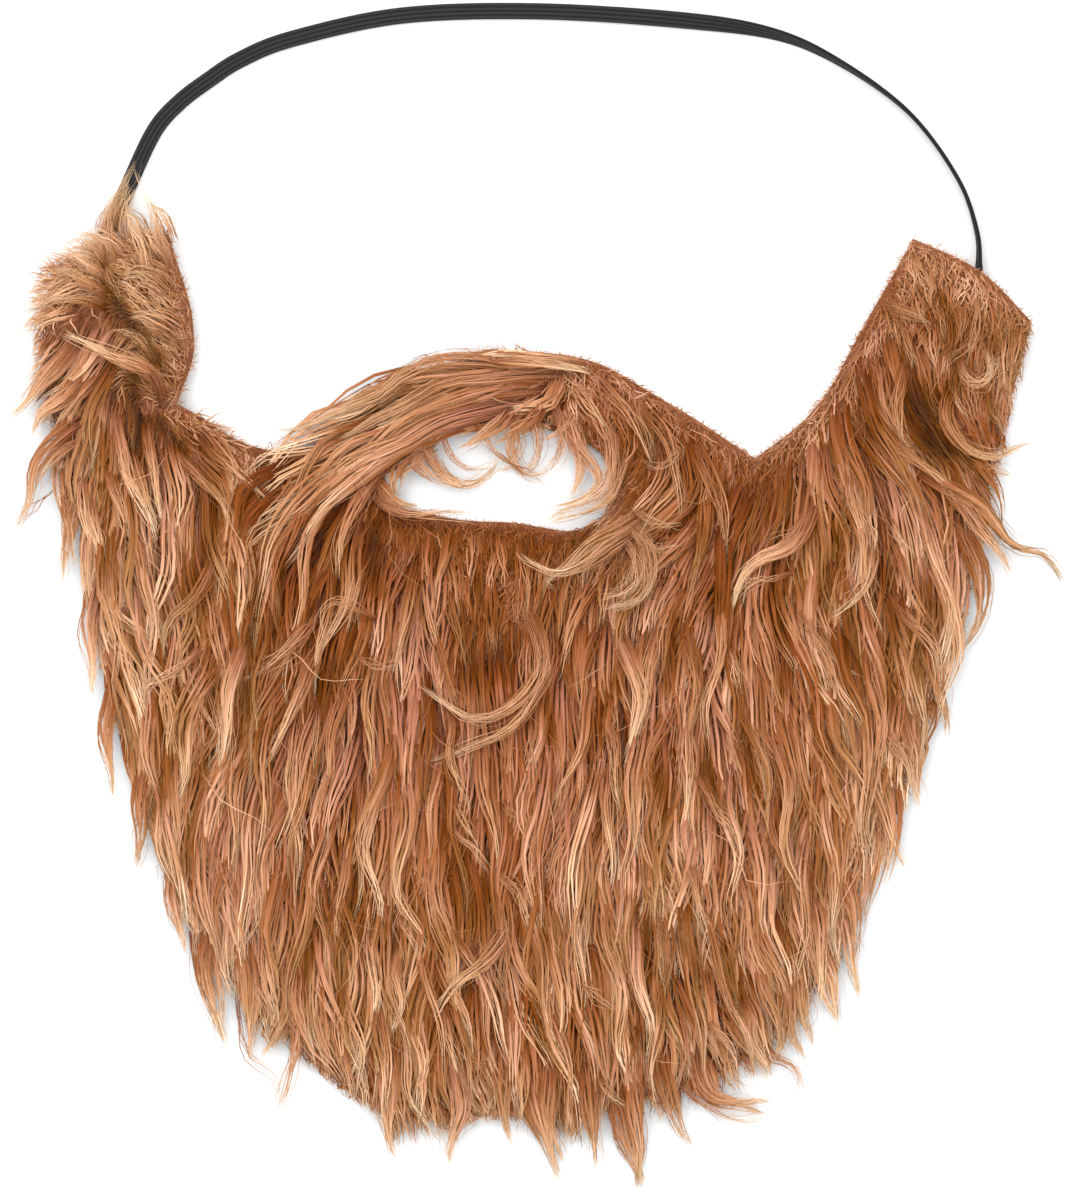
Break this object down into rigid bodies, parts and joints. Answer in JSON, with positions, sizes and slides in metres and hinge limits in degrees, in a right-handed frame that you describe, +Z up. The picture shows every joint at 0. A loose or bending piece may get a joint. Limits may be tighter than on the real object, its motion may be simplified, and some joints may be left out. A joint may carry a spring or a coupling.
{
  "type": "fake beard",
  "caption": "Costume beard of long ginger fur cloth with sideburn tabs, a moustache arch over a mouth hole and a flat black elastic head strap, lying flat",
  "frame": {"origin": "on the underside of the backing cloth, on the middle line of the picture's mouth, about 57 mm below the middle of the mouth hole, where the beard lies on the table", "axes": "+Y from the chin up to the head strap, +X to the picture's right, +Z up from the table through the pile"},
  "size_m": [0.3697, 0.4154, 0.0199],
  "materials": {
    "backing": "knitted polyester backing",
    "fur": "long acrylic pile, ginger with lighter tips",
    "elastic": "flat braided elastic, matt black"
  },
  "bodies": {
    "root": {"backing_cloth": "backing", "fur_pile": "fur", "elastic_strap": "elastic"}
  },
  "joints": []
}
